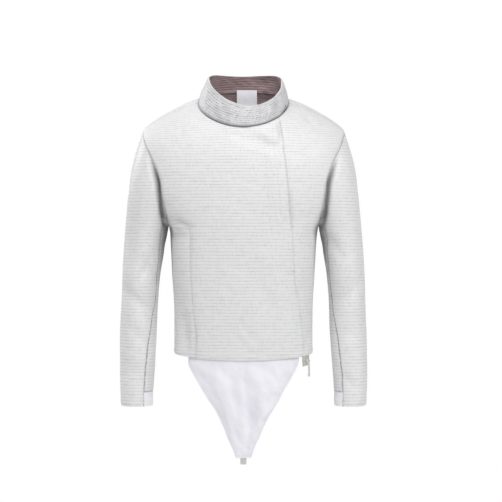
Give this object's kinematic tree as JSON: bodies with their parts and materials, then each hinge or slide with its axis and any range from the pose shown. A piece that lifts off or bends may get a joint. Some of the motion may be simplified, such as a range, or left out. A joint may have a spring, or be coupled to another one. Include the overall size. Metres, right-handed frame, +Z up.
{
  "type": "sabre fencing lame, hollow in its worn form",
  "caption": "Electric over-jacket in silver-grey ribbed conductive cloth with a stand collar, a flapped side-front zip, straight sleeves and a white crotch panel on an elastic strap.",
  "frame": {"origin": "midway between the two points where neck and shoulder meet, where the wearer's shoulders carry the garment", "axes": "+Z up, the front faces -Y, +X to the wearer's left"},
  "size_m": [0.5534, 0.2427, 0.8785],
  "materials": {
    "lame_cloth": "ribbed weave of metal-coated yarn, soft sheen",
    "white_cotton": "plain cotton, matt",
    "taupe_lining": "ribbed lining, matt",
    "grey_elastic": "woven elastic, matt",
    "olive_tape": "herringbone tape, matt",
    "bright_metal": "bright plated"
  },
  "bodies": {
    "garment": {"front_main": "lame_cloth", "front_under": "lame_cloth", "side_panel": "lame_cloth", "back": "lame_cloth", "sleeve_upper_left": "lame_cloth", "sleeve_upper_right": "lame_cloth", "sleeve_under_left": "lame_cloth", "sleeve_under_right": "lame_cloth", "cuff_inset_left": "white_cotton", "cuff_inset_right": "white_cotton", "collar_right": "lame_cloth", "collar_front": "lame_cloth", "collar_left": "lame_cloth", "collar_lining": "taupe_lining", "yoke_lining": "taupe_lining", "neck_label": "white_cotton", "crotch_panel": "white_cotton", "crotch_strap": "grey_elastic", "zip_tape": "olive_tape", "zip_slider": "bright_metal"},
    "zip_pull": {"zip_pull": "bright_metal"}
  },
  "joints": [
    {"name": "pull_swing", "type": "hinge", "parent": "garment", "child": "zip_pull", "pos_m": [0.14509, -0.06137, -0.57522], "axis": [-0.4923, -0.8704, 0], "range_deg": [0, 150]}
  ]
}
